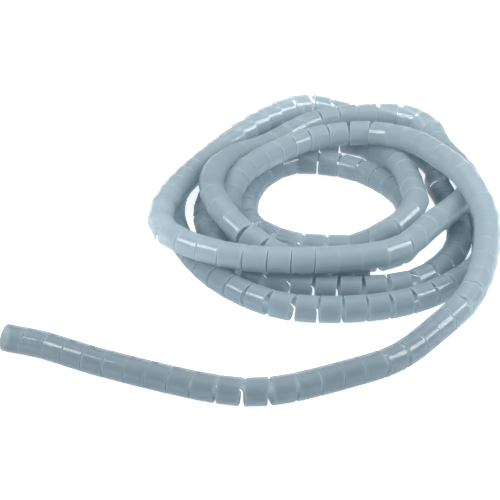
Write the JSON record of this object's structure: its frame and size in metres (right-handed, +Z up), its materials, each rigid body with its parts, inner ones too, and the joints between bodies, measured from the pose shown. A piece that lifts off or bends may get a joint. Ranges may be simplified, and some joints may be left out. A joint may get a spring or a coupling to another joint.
{
  "type": "spiral-cut guard tube",
  "caption": "Long flexible hollow tube of translucent plastic, cut along its length by a helical slit, lying in a loose coil with one end led out.",
  "frame": {"origin": "middle of the coil's footprint, tail included, on the surface it lies on", "axes": "+Z up; the tail is led out on the -Y side and its open end points to -X; +Y runs through the coil away from the tail"},
  "size_m": [0.4458, 0.5116, 0.069],
  "materials": {
    "polyethylene": "satin"
  },
  "bodies": {
    "root": {"outer_end": "polyethylene", "tail": "polyethylene", "turn_1": "polyethylene", "turn_2": "polyethylene", "turn_3": "polyethylene", "turn_4": "polyethylene", "turn_5": "polyethylene", "turn_6": "polyethylene", "inner_end": "polyethylene"}
  },
  "joints": []
}
